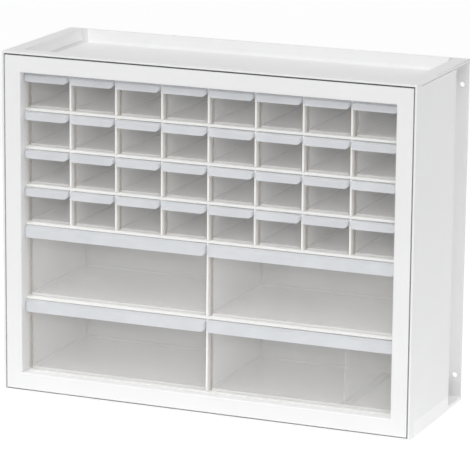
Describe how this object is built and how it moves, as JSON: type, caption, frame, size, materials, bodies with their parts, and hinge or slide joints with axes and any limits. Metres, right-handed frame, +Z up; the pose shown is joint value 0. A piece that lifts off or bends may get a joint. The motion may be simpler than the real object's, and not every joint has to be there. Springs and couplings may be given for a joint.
{
  "type": "drawer cabinet for craft supplies",
  "caption": "White moulded tabletop cabinet with rows of small clear slide-out drawers over larger ones, a sunk tray on top and side channels with wall-mount holes.",
  "frame": {"origin": "middle of the footprint on the surface the cabinet stands on", "axes": "+Z up, drawers pull out along -Y, +X to the right seen from the front"},
  "size_m": [0.495, 0.178, 0.396],
  "materials": {
    "white_plastic": "fine satin moulded polystyrene",
    "clear_plastic": "clear glossy moulded polystyrene"
  },
  "bodies": {
    "cabinet": {"front_collar": "white_plastic", "front_frame": "white_plastic", "top_tray": "white_plastic", "base": "white_plastic", "back_panel": "white_plastic", "side_cover_right": "white_plastic", "side_cover_left": "white_plastic", "rack_side_right": "white_plastic", "rack_side_left": "white_plastic", "rack_top": "white_plastic", "rack_floor": "white_plastic", "shelf_1": "white_plastic", "shelf_2": "white_plastic", "shelf_3": "white_plastic", "shelf_4": "white_plastic", "shelf_5": "white_plastic", "upright_1": "white_plastic", "upright_2": "white_plastic", "upright_3": "white_plastic", "upright_4": "white_plastic", "upright_5": "white_plastic", "upright_6": "white_plastic", "upright_7": "white_plastic"},
    "small_drawer_row1_col1": {"small_drawer_row1_col1": "clear_plastic"},
    "small_drawer_row1_col2": {"small_drawer_row1_col2": "clear_plastic"},
    "small_drawer_row1_col3": {"small_drawer_row1_col3": "clear_plastic"},
    "small_drawer_row1_col4": {"small_drawer_row1_col4": "clear_plastic"},
    "small_drawer_row1_col5": {"small_drawer_row1_col5": "clear_plastic"},
    "small_drawer_row1_col6": {"small_drawer_row1_col6": "clear_plastic"},
    "small_drawer_row1_col7": {"small_drawer_row1_col7": "clear_plastic"},
    "small_drawer_row1_col8": {"small_drawer_row1_col8": "clear_plastic"},
    "small_drawer_row2_col1": {"small_drawer_row2_col1": "clear_plastic"},
    "small_drawer_row2_col2": {"small_drawer_row2_col2": "clear_plastic"},
    "small_drawer_row2_col3": {"small_drawer_row2_col3": "clear_plastic"},
    "small_drawer_row2_col4": {"small_drawer_row2_col4": "clear_plastic"},
    "small_drawer_row2_col5": {"small_drawer_row2_col5": "clear_plastic"},
    "small_drawer_row2_col6": {"small_drawer_row2_col6": "clear_plastic"},
    "small_drawer_row2_col7": {"small_drawer_row2_col7": "clear_plastic"},
    "small_drawer_row2_col8": {"small_drawer_row2_col8": "clear_plastic"},
    "small_drawer_row3_col1": {"small_drawer_row3_col1": "clear_plastic"},
    "small_drawer_row3_col2": {"small_drawer_row3_col2": "clear_plastic"},
    "small_drawer_row3_col3": {"small_drawer_row3_col3": "clear_plastic"},
    "small_drawer_row3_col4": {"small_drawer_row3_col4": "clear_plastic"},
    "small_drawer_row3_col5": {"small_drawer_row3_col5": "clear_plastic"},
    "small_drawer_row3_col6": {"small_drawer_row3_col6": "clear_plastic"},
    "small_drawer_row3_col7": {"small_drawer_row3_col7": "clear_plastic"},
    "small_drawer_row3_col8": {"small_drawer_row3_col8": "clear_plastic"},
    "small_drawer_row4_col1": {"small_drawer_row4_col1": "clear_plastic"},
    "small_drawer_row4_col2": {"small_drawer_row4_col2": "clear_plastic"},
    "small_drawer_row4_col3": {"small_drawer_row4_col3": "clear_plastic"},
    "small_drawer_row4_col4": {"small_drawer_row4_col4": "clear_plastic"},
    "small_drawer_row4_col5": {"small_drawer_row4_col5": "clear_plastic"},
    "small_drawer_row4_col6": {"small_drawer_row4_col6": "clear_plastic"},
    "small_drawer_row4_col7": {"small_drawer_row4_col7": "clear_plastic"},
    "small_drawer_row4_col8": {"small_drawer_row4_col8": "clear_plastic"},
    "large_drawer_upper_left": {"large_drawer_upper_left": "clear_plastic"},
    "large_drawer_upper_right": {"large_drawer_upper_right": "clear_plastic"},
    "large_drawer_lower_left": {"large_drawer_lower_left": "clear_plastic"},
    "large_drawer_lower_right": {"large_drawer_lower_right": "clear_plastic", "drawer_divider": "clear_plastic"}
  },
  "joints": [
    {"name": "small_drawer_row1_col1_slide", "type": "slide", "parent": "cabinet", "child": "small_drawer_row1_col1", "axis": [0, -1, 0], "range_m": [0, 0.12]},
    {"name": "small_drawer_row1_col2_slide", "type": "slide", "parent": "cabinet", "child": "small_drawer_row1_col2", "axis": [0, -1, 0], "range_m": [0, 0.12]},
    {"name": "small_drawer_row1_col3_slide", "type": "slide", "parent": "cabinet", "child": "small_drawer_row1_col3", "axis": [0, -1, 0], "range_m": [0, 0.12]},
    {"name": "small_drawer_row1_col4_slide", "type": "slide", "parent": "cabinet", "child": "small_drawer_row1_col4", "axis": [0, -1, 0], "range_m": [0, 0.12]},
    {"name": "small_drawer_row1_col5_slide", "type": "slide", "parent": "cabinet", "child": "small_drawer_row1_col5", "axis": [0, -1, 0], "range_m": [0, 0.12]},
    {"name": "small_drawer_row1_col6_slide", "type": "slide", "parent": "cabinet", "child": "small_drawer_row1_col6", "axis": [0, -1, 0], "range_m": [0, 0.12]},
    {"name": "small_drawer_row1_col7_slide", "type": "slide", "parent": "cabinet", "child": "small_drawer_row1_col7", "axis": [0, -1, 0], "range_m": [0, 0.12]},
    {"name": "small_drawer_row1_col8_slide", "type": "slide", "parent": "cabinet", "child": "small_drawer_row1_col8", "axis": [0, -1, 0], "range_m": [0, 0.12]},
    {"name": "small_drawer_row2_col1_slide", "type": "slide", "parent": "cabinet", "child": "small_drawer_row2_col1", "axis": [0, -1, 0], "range_m": [0, 0.12]},
    {"name": "small_drawer_row2_col2_slide", "type": "slide", "parent": "cabinet", "child": "small_drawer_row2_col2", "axis": [0, -1, 0], "range_m": [0, 0.12]},
    {"name": "small_drawer_row2_col3_slide", "type": "slide", "parent": "cabinet", "child": "small_drawer_row2_col3", "axis": [0, -1, 0], "range_m": [0, 0.12]},
    {"name": "small_drawer_row2_col4_slide", "type": "slide", "parent": "cabinet", "child": "small_drawer_row2_col4", "axis": [0, -1, 0], "range_m": [0, 0.12]},
    {"name": "small_drawer_row2_col5_slide", "type": "slide", "parent": "cabinet", "child": "small_drawer_row2_col5", "axis": [0, -1, 0], "range_m": [0, 0.12]},
    {"name": "small_drawer_row2_col6_slide", "type": "slide", "parent": "cabinet", "child": "small_drawer_row2_col6", "axis": [0, -1, 0], "range_m": [0, 0.12]},
    {"name": "small_drawer_row2_col7_slide", "type": "slide", "parent": "cabinet", "child": "small_drawer_row2_col7", "axis": [0, -1, 0], "range_m": [0, 0.12]},
    {"name": "small_drawer_row2_col8_slide", "type": "slide", "parent": "cabinet", "child": "small_drawer_row2_col8", "axis": [0, -1, 0], "range_m": [0, 0.12]},
    {"name": "small_drawer_row3_col1_slide", "type": "slide", "parent": "cabinet", "child": "small_drawer_row3_col1", "axis": [0, -1, 0], "range_m": [0, 0.12]},
    {"name": "small_drawer_row3_col2_slide", "type": "slide", "parent": "cabinet", "child": "small_drawer_row3_col2", "axis": [0, -1, 0], "range_m": [0, 0.12]},
    {"name": "small_drawer_row3_col3_slide", "type": "slide", "parent": "cabinet", "child": "small_drawer_row3_col3", "axis": [0, -1, 0], "range_m": [0, 0.12]},
    {"name": "small_drawer_row3_col4_slide", "type": "slide", "parent": "cabinet", "child": "small_drawer_row3_col4", "axis": [0, -1, 0], "range_m": [0, 0.12]},
    {"name": "small_drawer_row3_col5_slide", "type": "slide", "parent": "cabinet", "child": "small_drawer_row3_col5", "axis": [0, -1, 0], "range_m": [0, 0.12]},
    {"name": "small_drawer_row3_col6_slide", "type": "slide", "parent": "cabinet", "child": "small_drawer_row3_col6", "axis": [0, -1, 0], "range_m": [0, 0.12]},
    {"name": "small_drawer_row3_col7_slide", "type": "slide", "parent": "cabinet", "child": "small_drawer_row3_col7", "axis": [0, -1, 0], "range_m": [0, 0.12]},
    {"name": "small_drawer_row3_col8_slide", "type": "slide", "parent": "cabinet", "child": "small_drawer_row3_col8", "axis": [0, -1, 0], "range_m": [0, 0.12]},
    {"name": "small_drawer_row4_col1_slide", "type": "slide", "parent": "cabinet", "child": "small_drawer_row4_col1", "axis": [0, -1, 0], "range_m": [0, 0.12]},
    {"name": "small_drawer_row4_col2_slide", "type": "slide", "parent": "cabinet", "child": "small_drawer_row4_col2", "axis": [0, -1, 0], "range_m": [0, 0.12]},
    {"name": "small_drawer_row4_col3_slide", "type": "slide", "parent": "cabinet", "child": "small_drawer_row4_col3", "axis": [0, -1, 0], "range_m": [0, 0.12]},
    {"name": "small_drawer_row4_col4_slide", "type": "slide", "parent": "cabinet", "child": "small_drawer_row4_col4", "axis": [0, -1, 0], "range_m": [0, 0.12]},
    {"name": "small_drawer_row4_col5_slide", "type": "slide", "parent": "cabinet", "child": "small_drawer_row4_col5", "axis": [0, -1, 0], "range_m": [0, 0.12]},
    {"name": "small_drawer_row4_col6_slide", "type": "slide", "parent": "cabinet", "child": "small_drawer_row4_col6", "axis": [0, -1, 0], "range_m": [0, 0.12]},
    {"name": "small_drawer_row4_col7_slide", "type": "slide", "parent": "cabinet", "child": "small_drawer_row4_col7", "axis": [0, -1, 0], "range_m": [0, 0.12]},
    {"name": "small_drawer_row4_col8_slide", "type": "slide", "parent": "cabinet", "child": "small_drawer_row4_col8", "axis": [0, -1, 0], "range_m": [0, 0.12]},
    {"name": "large_drawer_upper_left_slide", "type": "slide", "parent": "cabinet", "child": "large_drawer_upper_left", "axis": [0, -1, 0], "range_m": [0, 0.12]},
    {"name": "large_drawer_upper_right_slide", "type": "slide", "parent": "cabinet", "child": "large_drawer_upper_right", "axis": [0, -1, 0], "range_m": [0, 0.12]},
    {"name": "large_drawer_lower_left_slide", "type": "slide", "parent": "cabinet", "child": "large_drawer_lower_left", "axis": [0, -1, 0], "range_m": [0, 0.12]},
    {"name": "large_drawer_lower_right_slide", "type": "slide", "parent": "cabinet", "child": "large_drawer_lower_right", "axis": [0, -1, 0], "range_m": [0, 0.12]}
  ]
}
